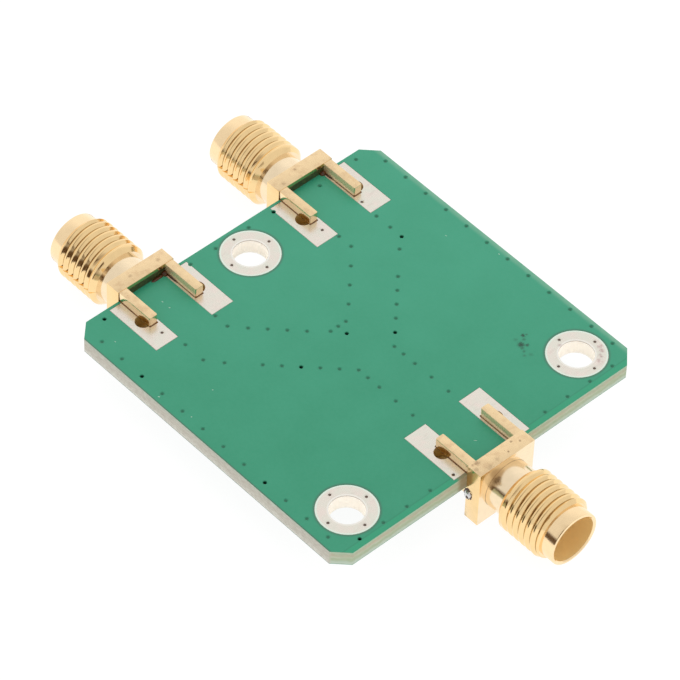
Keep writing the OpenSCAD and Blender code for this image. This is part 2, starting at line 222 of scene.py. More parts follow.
class Finish(Nodes):
    """A procedural material, with the patterns that the finishes share."""

    def __init__(self, name):
        self.material = bpy.data.materials.new(name)
        self.material.use_nodes = True
        super().__init__(self.material.node_tree)
        self.shader = self.tree.nodes["Principled BSDF"]
        self.place = self.node("ShaderNodeTexCoord").outputs["Object"]
        split = self.node("ShaderNodeSeparateXYZ")
        self.feed(split.inputs[0], self.place)
        self.x, self.y, self.z = split.outputs

    def set(self, **values):
        """Feeds the shader's own sockets, named in lower case with underscores."""
        for key, value in values.items():
            self.feed(self.shader.inputs[key.replace("_", " ").title()], value)

    def show(self, surface):
        """Shows another shader in place of the material's own."""
        self.tree.nodes.remove(self.shader)
        self.feed(self.tree.nodes["Material Output"].inputs["Surface"], surface)

    def stretched(self, factors):
        """The place with each axis scaled, so that blots come out longer one way."""
        return self.vector("MULTIPLY", self.place, factors, "Vector")

    def noise(self, size, detail=2.0, place=None):
        """Cloudy values about 0.5, with blots of about that size."""
        made = self.node("ShaderNodeTexNoise")
        self.feed(made.inputs["Vector"], place or self.place)
        made.inputs["Scale"].default_value = 1 / size
        made.inputs["Detail"].default_value = detail
        return made.outputs[0]

    def cells(self, size):
        """Distance to the nearest of scattered points, in shares of their spacing."""
        made = self.node("ShaderNodeTexVoronoi")
        self.feed(made.inputs["Vector"], self.place)
        made.inputs["Scale"].default_value = 1 / size
        return made.outputs["Distance"]

    def stripe(self, value, low, high, soft):
        """1 between low and high, and 0 outside them."""
        rise = self.band(value, low - soft, low + soft)
        return self.times(rise, self.band(value, high + soft, high - soft))

    def span(self, value, low, high):
        """Stretches cloudy values over a range."""
        made = self.node("ShaderNodeMapRange")
        self.feed(made.inputs["Value"], value)
        made.inputs["From Min"].default_value = CLOUD_LOW
        made.inputs["From Max"].default_value = CLOUD_HIGH
        made.inputs["To Min"].default_value = low
        made.inputs["To Max"].default_value = high
        return made.outputs["Result"]

    def bump(self, height, depth):
        made = self.node("ShaderNodeBump")
        self.feed(made.inputs["Height"], height)
        made.inputs["Distance"].default_value = depth
        self.feed(self.shader.inputs["Normal"], made.outputs[0])

    def from_point(self, x, y):
        """Distance from an upright line."""
        flat = self.node("ShaderNodeCombineXYZ")
        self.feed(flat.inputs[0], self.x)
        self.feed(flat.inputs[1], self.y)
        return self.vector("DISTANCE", flat.outputs[0], (x, y, 0))

    def from_holes(self):
        """Distance from the axis of the nearest mounting hole."""
        first, second, third = (self.from_point(x, y) for x, y in HOLES)
        return self.math("MINIMUM", self.math("MINIMUM", first, second), third)

    def from_edge(self):
        """Distance in from the board's cut outline, seen from above."""
        along = self.math("ABSOLUTE", self.x)
        across = self.math("ABSOLUTE", self.y)
        ends = self.math("SUBTRACT", HALF_L, along)
        sides = self.math("SUBTRACT", HALF_W, across)
        reach = self.math("SUBTRACT", HALF_L + HALF_W - CORNER_CUT, self.math("ADD", along, across))
        return self.math("MINIMUM", self.math("MINIMUM", ends, sides), self.times(reach, math.sqrt(0.5)))


# Stains in the mask: place and reach in mm, and how dark they are
STAINS = ((9.5, 10.78, 0.54, 1.0), (8.82, 11.65, 0.34, 1.0), (9.88, 11.17, 0.3, 1.0),
          (9.21, 11.39, 0.3, 0.5), (9.86, 10.57, 0.34, 0.5), (10.23, 10.43, 0.26, 0.6),
          (10.61, 10.11, 0.3, 0.4), (10.9, 10.63, 0.34, 0.3), (8.76, 10.82, 0.34, 0.3),
          (8.94, 11.97, 0.2, 0.6))
# Brown flux where the board's edge meets the near side of the input flange
FLUX_CORNER = (HALF_L - 0.1 * MM, -3.35 * MM)


def mask_finish():
    """Satin green mask, paler or brighter along the edges where the copper under it stops short."""
    f = Finish("solder_mask")
    shade = f.band(f.math("SUBTRACT", f.y, f.x), -24 * MM, 30 * MM)
    shade = f.math("ADD", f.times(shade, 0.7), f.span(f.noise(4 * MM, 3), 0.0, 0.3))
    green = f.mix(shade, srgb(40, 149, 112), srgb(58, 164, 129))
    green = f.mix(f.span(f.noise(0.3 * MM, 3), 0.0, 0.08), green, srgb(84, 174, 142))
    upper = f.band(f.z, LOWER_Z, UPPER_Z)
    for x, y, reach, dark in STAINS:
        uneven = f.math("ADD", f.from_point(x * MM, y * MM), f.times(f.noise(0.12 * MM, 3), reach * MM))
        stain = f.times(f.band(uneven, 1.35 * reach * MM, 0.6 * reach * MM), dark)
        green = f.mix(f.times(stain, upper), green, srgb(24, 74, 54))
    far = f.math("SUBTRACT", HALF_W, f.y)
    pale = f.times(f.band(far, 0.66 * MM, 0.1 * MM), f.span(f.noise(0.7 * MM, 3), 0.6, 0.95))
    green = f.mix(pale, green, srgb(122, 182, 152))
    front = f.math("SUBTRACT", HALF_L, f.x)
    green = f.mix(f.times(f.band(front, 0.6 * MM, 0.5 * MM), 0.5), green, srgb(34, 164, 118))
    step = f.times(f.stripe(front, 0.55 * MM, 0.66 * MM, 0.05 * MM), 0.35)
    green = f.mix(step, green, srgb(24, 120, 88))
    near = f.math("ADD", HALF_W, f.y)
    green = f.mix(f.times(f.band(near, 0.14 * MM, 0.04 * MM), 0.65), green, srgb(62, 96, 78))
    # Darker band in the mask round each mounting ring: painted shade.
    green = f.mix(f.times(f.band(f.from_holes(), RING_R + 0.3 * MM, RING_R + 0.1 * MM), 0.6),
                  green, srgb(66, 112, 92))
    flux = f.times(f.band(f.from_point(*FLUX_CORNER), 0.9 * MM, 0.3 * MM), 0.8)
    green = f.mix(f.times(flux, upper), green, srgb(150, 124, 94))
    f.set(base_color=green, roughness=f.span(f.noise(0.8 * MM, 3), 0.34, 0.4))
    f.bump(f.noise(0.12 * MM, 3), 0.002 * MM)
    return f.material


def laminate_finish():
    """Sawn glass-fibre laminate, layered at the input end, with painted light low on its sides and a
    painted glow in its holes.
    """
    f = Finish("laminate_edge")
    height = f.math("DIVIDE", f.math("SUBTRACT", f.z, LOWER_Z), UPPER_Z - LOWER_Z)
    layer = f.math("ADD", height, f.times(f.math("SUBTRACT", f.noise(1.0 * MM, 4), 0.5), 0.3))
    fibre = f.noise(0.2 * MM, 4, f.stretched((0.5, 0.5, 1.6)))
    side = f.mix(f.band(layer, 0.72, 0.95), srgb(226, 224, 210), srgb(212, 226, 208))
    # Paler towards the bottom of the side edges: painted light from the white floor.
    side = f.mix(f.band(layer, 0.5, 0.1), side, srgb(246, 246, 234))
    side = f.mix(f.span(fibre, 0.0, 0.6), side, srgb(190, 178, 164))
    end = f.mix(f.band(layer, 0.16, 0.36), srgb(208, 228, 208), srgb(186, 204, 166))
    pale = f.times(f.band(layer, 0.4, 0.6), f.span(f.noise(1.4 * MM, 2), 0.2, 1.0))
    end = f.mix(pale, end, srgb(218, 226, 202))
    pink = f.mix(f.span(f.noise(2.2 * MM, 3), 0.0, 1.0), srgb(182, 194, 160), srgb(212, 194, 166))
    end = f.mix(f.band(layer, 0.5, 0.74), end, pink)
    end = f.mix(f.band(layer, 0.7, 0.95), end, srgb(188, 212, 182))
    end = f.mix(f.span(fibre, 0.0, 0.35), end, srgb(226, 228, 210))
    sawn = f.mix(f.band(f.x, HALF_L - 1.5 * MM, HALF_L - 1.2 * MM), side, end)
    flux = f.times(f.band(f.from_point(*FLUX_CORNER), 0.9 * MM, 0.2 * MM), 0.75)
    sawn = f.mix(flux, sawn, srgb(158, 132, 98))
    wall = f.mix(f.span(fibre, 0.0, 1.0), srgb(243, 234, 222), srgb(252, 247, 238))
    burr = f.band(f.z, UPPER_Z - SHEET_T - 0.12 * MM, UPPER_Z - SHEET_T - 0.05 * MM)
    wall = f.mix(f.times(burr, 0.75), wall, srgb(136, 126, 120))
    outer = f.band(f.from_edge(), 0.1 * MM, 0.02 * MM)
    through = f.times(f.math("SUBTRACT", 1.0, outer), 0.3)
    f.set(base_color=f.mix(outer, wall, sawn), roughness=0.75)
    # Painted glow: emission in the drilled walls stands for light that comes through the laminate.
    f.set(emission_color=wall, emission_strength=through)
    f.bump(fibre, 0.02 * MM)
    return f.material


# Smears on the rings and pads: place and reach in mm
SMEARS = ((14.15, 15.85, 0.4), (14.6, 15.6, 0.4), (15.0, 15.2, 0.4), (15.35, 14.7, 0.4),
          (11.75, 13.3, 0.3))


def tin_finish():
    """Levelled tin: near white, in pink and grey blots, with a pale rim round the rings."""
    f = Finish("levelled_tin")
    tone = f.mix(f.span(f.noise(0.8 * MM, 2), 0.0, 1.0), srgb(234, 222, 212), srgb(227, 226, 213))
    scuff = f.band(f.noise(0.35 * MM, 2, f.stretched((1.0, 0.3, 1.0))), 0.56, 0.72)
    tone = f.mix(f.times(scuff, 0.14), tone, srgb(190, 172, 164))
    away = f.from_holes()
    rim = f.stripe(away, RING_R - 0.14 * MM, RING_R + 0.1 * MM, 0.06 * MM)
    tone = f.mix(f.times(rim, 0.8), tone, srgb(224, 244, 230))
    lip = f.stripe(away, HOLE_R, HOLE_R + 0.14 * MM, 0.05 * MM)
    tone = f.mix(f.times(lip, 0.7), tone, srgb(246, 243, 236))
    for x, y, reach in SMEARS:
        smear = f.band(f.from_point(x * MM, y * MM), reach * MM, 0.2 * reach * MM)
        smear = f.times(smear, f.span(f.noise(0.25 * MM, 3), -0.1, 0.9))
        tone = f.mix(smear, tone, srgb(176, 140, 140))
    f.set(base_color=tone, metallic=0.85, roughness=f.span(f.noise(0.4 * MM, 3), 0.24, 0.34))
    f.bump(f.noise(0.4 * MM, 1), 0.002 * MM)
    return f.material


# Pits and dull scuffs in the flange tops: place and reach in mm, and how dark they are
FLANGE_PITS = ((18.32, 0.76, 0.22, 1.0), (17.65, 1.71, 0.24, 0.8), (18.07, 2.37, 0.26, 0.8),
               (17.5, -2.14, 0.6, 0.7), (17.42, -2.6, 0.3, 0.6), (18.0, -2.7, 0.5, 0.5),
               (18.3, -0.55, 0.45, 0.4), (18.6, -1.6, 0.7, 0.4), (-18.35, 9.32, 0.32, 0.6),
               (-18.12, -10.3, 0.4, 0.5), (-17.7, 7.4, 0.45, 0.4), (-18.0, -7.2, 0.45, 0.4))
# Share of light that the deeper tone of the gold keeps, and depth of a pit against the grain
DEEPER = 0.94
PIT_DEPTH = 5.0


def gold_finish(name, tone, low, high, lathe=0.0, grain=0.3, pits=0.0, metal=1.0):
    """Gold plating between two roughnesses, with lathe rings or milling pits in it."""
    f = Finish(name)
    deeper = tuple(c * DEEPER for c in tone[:3]) + (1.0,)
    colour = f.mix(f.span(f.noise(0.7 * MM, 4), 0.0, 1.0), tone, deeper)
    pit = f.times(f.band(f.cells(0.4 * MM), 0.12, 0.04), f.band(f.noise(0.9 * MM, 2), 0.54, 0.64))
    if pits:
        for x, y, reach, dark in FLANGE_PITS:
            uneven = f.math("ADD", f.from_point(x * MM, y * MM), f.times(f.noise(0.2 * MM, 3), reach * MM))
            pit = f.math("MAXIMUM", pit, f.times(f.band(uneven, 1.2 * reach * MM, 0.6 * reach * MM), dark))
        blot = f.times(f.band(f.noise(0.6 * MM, 3), 0.45, 0.7), 0.25)
        colour = f.mix(blot, colour, srgb(190, 146, 108))
    pit = f.times(pit, pits)
    colour = f.mix(pit, colour, srgb(120, 88, 64))
    rings = f.times(f.noise(0.05 * MM, 2, f.stretched((1.0, 0.05, 0.05))), lathe)
    height = f.math("ADD", rings, f.times(f.noise(0.08 * MM, 3), grain))
    f.set(base_color=colour, metallic=metal, roughness=f.span(f.noise(0.25 * MM, 3), low, high))
    f.bump(f.math("SUBTRACT", height, f.times(pit, PIT_DEPTH)), 0.001 * MM)
    return f.material


def solder_finish():
    f = Finish("bright_solder")
    tone = f.mix(f.span(f.noise(0.3 * MM, 3), 0.0, 1.0), srgb(196, 196, 198), srgb(224, 223, 221))
    f.set(base_color=tone, metallic=1.0, roughness=f.span(f.noise(0.15 * MM, 3), 0.12, 0.26))
    f.bump(f.noise(0.2 * MM, 2), 0.008 * MM)
    return f.material


def via_finish():
    """Mask drawn down into a via: the deeper, the darker, down to a painted shade near black in an open
    via.
    """
    f = Finish("tented_via")
    depth = f.math("MINIMUM", f.math("SUBTRACT", UPPER_Z, f.z), f.math("SUBTRACT", f.z, LOWER_Z))
    green = f.mix(f.band(depth, 0.0, 0.08 * MM), srgb(52, 156, 120), srgb(30, 112, 83))
    # Near black further down an open via: painted shade in the hole.
    green = f.mix(f.band(depth, 0.11 * MM, 0.2 * MM), green, srgb(12, 34, 26))
    f.set(base_color=f.mix(f.span(f.noise(0.1 * MM), 0.0, 0.2), green, srgb(20, 90, 66)), roughness=0.45)
    return f.material


def barrel_finish():
    """Plating and flux in a lead hole, in uneven yellows."""
    f = Finish("stained_barrel")
    stain = f.noise(0.35 * MM, 4)
    tone = f.mix(f.span(stain, 0.0, 1.0), srgb(222, 188, 112), srgb(244, 218, 150))
    tone = f.mix(f.band(f.noise(0.18 * MM, 3), 0.6, 0.68), tone, srgb(222, 196, 128))
    f.set(base_color=tone, metallic=0.2, roughness=f.span(f.noise(0.2 * MM, 3), 0.3, 0.5))
    f.bump(stain, 0.03 * MM)
    return f.material


def plain_finish(name, first, second, rough, size=0.3 * MM, depth=0.01 * MM):
    """A material that wanders between two colours."""
    f = Finish(name)
    cloud = f.noise(size, 4)
    f.set(base_color=f.mix(f.span(cloud, 0.0, 1.0), first, second), roughness=rough)
    f.bump(cloud, depth)
    return f.material


# Tones of the gold, by the way that it was cut
GOLD = (0.96, 0.69, 0.35, 1.0)
SATIN_GOLD = (0.96, 0.775, 0.525, 1.0)
COLLAR_GOLD = (1.0, 0.755, 0.45, 1.0)
LEG_GOLD = (1.0, 0.77, 0.47, 1.0)
MILLED_GOLD = (0.9, 0.675, 0.395, 1.0)
MOUTH_GOLD = (1.0, 0.7, 0.29, 1.0)
# Darker gold of the groove roots: tarnish, with painted shade in the recess.
GROOVE_TARNISH_AND_SHADE = (0.55, 0.34, 0.13, 1.0)

MASK = mask_finish()
LAMINATE = laminate_finish()
TIN = tin_finish()
SOLDER = solder_finish()
VIA = via_finish()
BARREL = barrel_finish()
GOLD_MILLED = gold_finish("gold_milled", MILLED_GOLD, 0.24, 0.32, grain=0.2, pits=0.7)
GOLD_SIDE = gold_finish("gold_side", GOLD, 0.15, 0.22)
GOLD_LEG = gold_finish("gold_leg", LEG_GOLD, 0.16, 0.22)
GOLD_INNER = gold_finish("gold_inner", LEG_GOLD, 0.2, 0.3, metal=0.5)
GOLD_TURNED = gold_finish("gold_turned", SATIN_GOLD, 0.14, 0.2, lathe=0.6)
GOLD_COLLAR = gold_finish("gold_collar", COLLAR_GOLD, 0.14, 0.2, lathe=0.6)
GOLD_THREAD = gold_finish("gold_thread", GOLD, 0.1, 0.15, lathe=0.2)
GOLD_ROOT_TARNISH_AND_SHADE = gold_finish("gold_root_tarnish_and_shade", GROOVE_TARNISH_AND_SHADE, 0.16, 0.22)
GOLD_MOUTH = gold_finish("gold_mouth", MOUTH_GOLD, 0.4, 0.5, metal=0.0)
PTFE = plain_finish("turned_ptfe", srgb(236, 235, 230), srgb(247, 246, 242), 0.45)
GLAZE = plain_finish("resistor_glaze", srgb(14, 14, 16), srgb(30, 30, 33), 0.25)
CERAMIC = plain_finish("resistor_ceramic", srgb(214, 212, 206), srgb(236, 234, 230), 0.55)
FLUX = plain_finish("flux_residue", srgb(52, 24, 8), srgb(104, 58, 22), 0.25)
# Dark olive film at the foot of a flange: flux, with painted shade and reflection.
FLUX_AND_SHADE_FILM = plain_finish("flux_and_shade_film", srgb(40, 52, 26), srgb(84, 84, 46), 0.3)
# Brown inside the open vias in the tin.
OPEN_VIA_BROWN = plain_finish("open_hole", srgb(112, 96, 86), srgb(146, 126, 114), 0.6, 0.1 * MM)
PALE_MARK = plain_finish("pale_mark", srgb(138, 190, 162), srgb(206, 224, 210), 0.45, 0.1 * MM)
# Dark brown of the seams: flux, with painted shade and reflection.
SEAM_FLUX_AND_SHADE = plain_finish("flux_and_shade_seam", srgb(96, 60, 24), srgb(150, 104, 52), 0.4, 0.2 * MM)


# Meshes

def circle(steps):
    """Angles evenly spread round a circle."""
    return np.arange(steps) * 2 * math.pi / steps


ANGLES = circle(ROUND_STEPS)
# Angles over the hollow of a solder fillet
CURVE = np.linspace(0, math.pi / 2, 9)


def ring(u, r):
    """Points round the X axis. u and r may differ from angle to angle."""
    u, r = np.broadcast_to(u, ANGLES.shape), np.broadcast_to(r, ANGLES.shape)
    return list(zip(u, r * np.cos(ANGLES), r * np.sin(ANGLES)))


def add_box(bm, low, high, bevel=0.0):
    """A box between two corners, its edges rounded by the bevel."""
    low, high = Vector(low), Vector(high)
    verts = bmesh.ops.create_cube(bm, size=1.0)["verts"]
    for v in verts:
        v.co = Vector((v.co[i] * (high[i] - low[i]) + (high[i] + low[i]) / 2 for i in range(3)))
    if bevel:
        edges = list({e for v in verts for e in v.link_edges})
        bmesh.ops.bevel(bm, geom=edges, offset=bevel, segments=2, profile=0.5, affect="EDGES")


def add_rings(bm, rings):
    """A closed skin over rings of points, with a cap at each end. Returns its faces."""
    rows = [[bm.verts.new(p) for p in points] for points in rings]
    count = len(rows[0])
    faces = [bm.faces.new(rows[0]), bm.faces.new(rows[-1])]
    for a, b in zip(rows, rows[1:]):
        for i in range(count):
            j = (i + 1) % count
            faces.append(bm.faces.new((a[i], a[j], b[j], b[i])))
    return faces


# Section of a drop, in shares of its reach and height, and how uneven its outline is
DROP_SECTION = ((1.0, -0.2), (1.0, 0.1), (0.86, 0.62), (0.55, 0.93), (0.2, 1.0))
DROP_STEPS = 18
DROP_UNEVEN = 0.35


def add_drop(bm, matrix, length, width, height, seed):
    """A low drop with an uneven outline, lying on the XY plane of its matrix."""
    reach = 1 + DROP_UNEVEN * (np.random.default_rng(seed).random(DROP_STEPS) - 0.5)
    outline = [(k * length / 2 * math.cos(a), k * width / 2 * math.sin(a))
               for a, k in zip(circle(DROP_STEPS), reach)]
    rings = []
    for share, rise in DROP_SECTION:
        rings.append([matrix @ Vector((share * x, share * y, rise * height)) for x, y in outline])
    add_rings(bm, rings)


def as_mesh(bm, name, gap=1e-7):
    bmesh.ops.remove_doubles(bm, verts=bm.verts, dist=gap)
    bmesh.ops.dissolve_degenerate(bm, edges=bm.edges, dist=gap)
    bmesh.ops.recalc_face_normals(bm, faces=bm.faces)
    mesh = bpy.data.meshes.new(name)
    bm.to_mesh(mesh)
    bm.free()
    return mesh


def combine(first, second, operation):
    """Joins, or cuts, one mesh with another, and gives the result as a new mesh."""
    base = bpy.data.objects.new("base", first)
    tool = bpy.data.objects.new("tool", second)
    for o in (base, tool):
        bpy.context.scene.collection.objects.link(o)
    change = base.modifiers.new("change", "BOOLEAN")
    change.operation = operation
    change.solver = "MANIFOLD"
    change.object = tool
    graph = bpy.context.evaluated_depsgraph_get()
    result = bpy.data.meshes.new_from_object(base.evaluated_get(graph))
    result.materials.clear()
    for o in (base, tool):
        bpy.data.objects.remove(o)
    return result


# Angles in degrees from which an edge stays sharp, on cut pieces and on those that flowed
CUT = 32
FLOWED = 60


def dress(name, mesh, finishes, replaced=(), matrix=None, sharp=CUT):
    """Makes a piece of the object from a mesh, and has it stand for the solids that it replaces."""
    if matrix is not None:
        mesh.transform(matrix)
    piece = bpy.data.objects.new(name, mesh)
    bpy.context.scene.collection.objects.link(piece)
    mesh.shade_smooth()
    mesh.set_sharp_from_angle(angle=math.radians(sharp))
    for finish in finishes:
        mesh.materials.append(finish)
    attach(piece, "root")
    if replaced:
        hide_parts(*replaced)
    return piece


def paint(finish, *names):
    """Gives solids that stay as they are their finish."""
    for name in names:
        mesh = NODES[name].data
        mesh.materials.clear()
        mesh.materials.append(finish)


def jack_matrix(jack):
    """From a jack's own frame, X outward from the board's edge along its axis, to the part's frame."""
    low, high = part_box(jack + "_shell")
    middle = (low + high) / 2
    outward = 1 if middle.x > 0 else -1
    turn = Matrix.Rotation(0 if outward > 0 else math.pi, 4, "Z")
    return Matrix.Translation((outward * HALF_L, middle.y, middle.z)) @ turn


# Jacks

def thread_rings():
    """Rings of the right-hand thread: its groove runs out at the neck and through the front bevel."""
    across = np.array([share * GROOVE_W for share, depth in GROOVE])
    depths = np.array([depth * GROOVE_DEPTH for share, depth in GROOVE])
    turn = ANGLES / (2 * math.pi) - GROOVE_START
    rings = []
    for k in range(-2, THREAD_TURNS + 2):
        for place in across:
            u = np.clip(FIRST_GROOVE_U + THREAD_PITCH * (k + turn) + place, THREAD_U, THREAD_END)
            phase = (u - FIRST_GROOVE_U - THREAD_PITCH * turn - across[0]) % THREAD_PITCH + across[0]
            run_out = np.clip((u - FIRST_GROOVE_U) / THREAD_PITCH + RUN_IN, 0, 1)
            r = THREAD_R - np.interp(phase, across, depths) * run_out
            r = np.minimum(r, THREAD_R - START_BEVEL + u - THREAD_U)
            r = np.minimum(r, THREAD_R - END_BEVEL + THREAD_END - u)
            rings.append(ring(u, r))
    return rings


def turned_mesh():
    bm = bmesh.new()
    rings = [ring(FLANGE_T / 2, NECK_R), ring(THREAD_U, NECK_R)]
    rings += thread_rings()
    rings += [
        ring(THREAD_END, COLLAR_R), ring(MOUTH_U - RIM_BEVEL, COLLAR_R),
        ring(MOUTH_U - BEVEL_MIDDLE * RIM_BEVEL, COLLAR_R - BEVEL_MIDDLE * RIM_BEVEL),
        ring(MOUTH_U, COLLAR_R - RIM_BEVEL),
        ring(MOUTH_U, MOUTH_R + RIM_BEVEL), ring(MOUTH_U - RIM_BEVEL, MOUTH_R), ring(INSULATOR_U, MOUTH_R),
    ]
    add_rings(bm, rings)
    return as_mesh(bm, "turned")


def flange_mesh():
    bm = bmesh.new()
    add_box(bm, (0, -FLANGE_HALF, -FLANGE_HALF), (FLANGE_T, FLANGE_HALF, FLANGE_HALF), EDGE_BEVEL)
    return as_mesh(bm, "flange")


def leg_outline(near, far, inset):
    """A leg seen from above, with round corners at its tip."""
    middle_x = LEG_TIP_R - LEG_L
    points = [(FLANGE_T / 2, far - inset)]
    for middle_y, start in ((far - LEG_TIP_R, 90), (near + LEG_TIP_R, 180)):
        for angle in np.radians(np.linspace(start, start + 90, LEG_TIP_STEPS)):
            points.append((middle_x + (LEG_TIP_R - inset) * math.cos(angle),
                           middle_y + (LEG_TIP_R - inset) * math.sin(angle)))
    return points + [(FLANGE_T / 2, near + inset)]


def leg_mesh(side, heights):
    bm = bmesh.new()
    near, far = sorted((side * LEG_Y[0], side * LEG_Y[1]))
    rings = []
    middle = BEVEL_MIDDLE * EDGE_BEVEL
    steps = [(EDGE_BEVEL, 0), (middle, middle), (0, EDGE_BEVEL)]
    for end, inward in ((heights[0], 1), (heights[1], -1)):
        for inset, rise in steps[::inward]:
            rings.append([(x, y, end + inward * rise) for x, y in leg_outline(near, far, inset)])
    add_rings(bm, rings)
    return as_mesh(bm, "leg")


def bore_mesh():
    bm = bmesh.new()
    add_rings(bm, [ring(-MM, BORE_R), ring(MOUTH_U - MM, BORE_R)])
    return as_mesh(bm, "bore")


SHELL_FINISHES = (GOLD_MILLED, GOLD_SIDE, GOLD_LEG, GOLD_TURNED, GOLD_THREAD, GOLD_ROOT_TARNISH_AND_SHADE, GOLD_COLLAR,
                  GOLD_MOUTH, GOLD_INNER)
# Share of a normal from which a face counts as facing along an axis, and a length too small to matter
FACING = 0.9
NEAR = 1e-6


def shell_finish(face):
    """The finish of a face of the shell, from its place and the way it faces."""
    u, r = face.center.x, math.hypot(face.center.y, face.center.z)
    way = face.normal
    on_leg = u < -NEAR
    if u <= FLANGE_T + NEAR:
        if on_leg and abs(way.y) > FACING and abs(face.center.y) < (LEG_Y[0] + LEG_Y[1]) / 2:
            return GOLD_INNER
        if abs(way.z) > FACING:
            return GOLD_MILLED
        if way.x > FACING and u > 0:
            return GOLD_TURNED
        return GOLD_LEG if on_leg else GOLD_SIDE
    if r < MOUTH_R + NEAR:
        return GOLD_MOUTH
    if u < THREAD_U:
        return GOLD_TURNED
    if u > THREAD_END:
        return GOLD_COLLAR
    grooved = THREAD_U + START_BEVEL < u < THREAD_END - END_BEVEL
    return GOLD_ROOT_TARNISH_AND_SHADE if grooved and r < THREAD_R - DARK_ROOT_DEPTH * GROOVE_DEPTH else GOLD_THREAD


def shell_mesh():
    """Flange, four legs and turned barrel as one body, with a finish for each way it was cut."""
    mesh = flange_mesh()
    for side in (-1, 1):
        for heights in (LEG_UPPER_Z, LEG_LOWER_Z):
            mesh = combine(mesh, leg_mesh(side, heights), "UNION")
    mesh = combine(mesh, turned_mesh(), "UNION")
    mesh = combine(mesh, bore_mesh(), "DIFFERENCE")
    for face in mesh.polygons:
        face.material_index = SHELL_FINISHES.index(shell_finish(face))
    return mesh


def contact_mesh():
    """Contact with a solid tail and a socket that two crossed slots split into four fingers."""
    bevel = 0.08 * MM
    bm = bmesh.new()
    add_rings(bm, [
        ring(-TAIL_L, TAIL_R - bevel), ring(bevel - TAIL_L, TAIL_R), ring(0, TAIL_R), ring(0, CONTACT_R),
        ring(CONTACT_U - bevel, CONTACT_R), ring(CONTACT_U, CONTACT_R - bevel),
        ring(CONTACT_U, SOCKET_R + bevel / 2), ring(CONTACT_U - bevel / 2, SOCKET_R),
        ring(CONTACT_U - SOCKET_DEPTH, SOCKET_R),
    ])
    mesh = as_mesh(bm, "contact")
    half, reach = SLOT_W / 2, 2 * CONTACT_R
    for wide in ((half, reach), (reach, half)):
        bm = bmesh.new()
        add_box(bm, (CONTACT_U - SLOT_DEPTH, -wide[0], -wide[1]), (CONTACT_U + MM, wide[0], wide[1]))
        mesh = combine(mesh, as_mesh(bm, "slot"), "DIFFERENCE")
    return mesh


# Size of a fillet at its ends, as a share of its full size
FILLET_END = 0.45
FILLET_STEPS = 13


def add_fillet(bm, start, along, out, length):
    """Hollow fillet of solder below the board, thinner towards both ends."""
    start, along, out, down = Vector(start), Vector(along), Vector(out), Vector((0, 0, -1))
    rings = []
    for t in np.linspace(0, 1, FILLET_STEPS).tolist():
        size = FILLET_END + (1 - FILLET_END) * math.sin(math.pi * t) ** 0.5
        wide, tall = size * FILLET_W, size * FILLET_H
        section = [(0, 0)] + [(wide * (1 - math.sin(s)), tall * (1 - math.cos(s))) for s in CURVE]
        rings.append([start + t * length * along + w * out + h * down for w, h in section])
    add_rings(bm, rings)


def leg_solder_mesh():
    bm = bmesh.new()
    for side in (-1, 1):
        beside = (-PAD_BACK - FILLET_L, side * LEG_Y[1], TAIL_SEAT)
        add_fillet(bm, beside, (1, 0, 0), (0, side, 0), FILLET_L)
        behind = (-LEG_L, side * LEG_Y[0], TAIL_SEAT)
        add_fillet(bm, behind, (0, side, 0), (-1, 0, 0), LEG_Y[1] - LEG_Y[0])
    return as_mesh(bm, "leg_solder")


# Upper edge of the solder along a tail, from the tail's axis in shares of its radius
BED_TOP = (0.93, -0.3)
BED_STEPS = 17


def tail_solder_mesh():
    """Solder that flares from the tail's sides down to its line, with a rounded free end."""
    bm = bmesh.new()
    top_y, top_z = BED_TOP[0] * TAIL_R, BED_TOP[1] * TAIL_R
    rings = []
    for t in np.linspace(0, 1, BED_STEPS):
        size = min(1.0, 0.5 + 0.5 * math.sqrt(1 - (1 - min(1.0, 4 * t)) ** 2))
        foot = size * BED_W / 2
        flare = [(top_y + (foot - top_y) * (1 - math.sin(s)),
                  TAIL_SEAT + (top_z - TAIL_SEAT) * (1 - math.cos(s))) for s in CURVE]
        section = flare + [(-y, z) for y, z in flare[::-1]]
        rings.append([(-TAIL_L - PAD_BACK + t * TAIL_L, y, z) for y, z in section])
    add_rings(bm, rings)
    return as_mesh(bm, "tail_solder")


# Dark seams, flux with painted shade and reflection in the joints: width, height and width beside a lead
# hole
SEAM_W = 0.03 * MM
SEAM_H = 0.045 * MM
SEAM_BY_HOLE = 0.1 * SEAM_W


def seam_mesh():
    """Thin dark seams at the feet and beside the roots of the upper legs and round the neck's root: flux,
    painted shade and reflection.
    """
    foot, tip = LEG_UPPER_Z[0], -LEG_L - SEAM_W
    inner, outer, clear = LEG_Y[0] - SEAM_W, LEG_Y[1] + SEAM_W, LEG_Y[1] + SEAM_BY_HOLE
    hole_u = LEAD_HOLE_R - LEAD_HOLE_IN
    outline = [(0, inner), (0, outer), (hole_u, outer), (hole_u, clear), (tip, clear), (tip, inner)]
    bm = bmesh.new()
    for side in (-1, 1):
        add_rings(bm, [[(x, side * y, z) for x, y in outline] for z in (foot, foot + SEAM_H)])
        near, far = sorted((side * LEG_Y[1], side * (FLANGE_HALF - EDGE_BEVEL)))
        add_box(bm, (-SEAM_W / 2, near, foot), (0, far, LEG_UPPER_Z[1] - SEAM_W))
    root_r = NECK_R + SEAM_W / 2
    add_rings(bm, [ring(FLANGE_T - SEAM_W, root_r), ring(FLANGE_T + SEAM_W / 4, root_r),
                   ring(FLANGE_T + SEAM_W, NECK_R - SEAM_W)])
    return as_mesh(bm, "seam")


def foot_flux_and_shade_mesh():
    """Dark film along the foot of the flange, between the upper legs: flux with painted shade and
    reflection.
    """
    thick, tall, foot = 0.02 * MM, 0.7 * MM, LEG_UPPER_Z[0]
    bm = bmesh.new()
    add_box(bm, (-thick, -LEG_Y[0], foot), (0, LEG_Y[0], foot + tall))
    return as_mesh(bm, "foot_flux_and_shade")


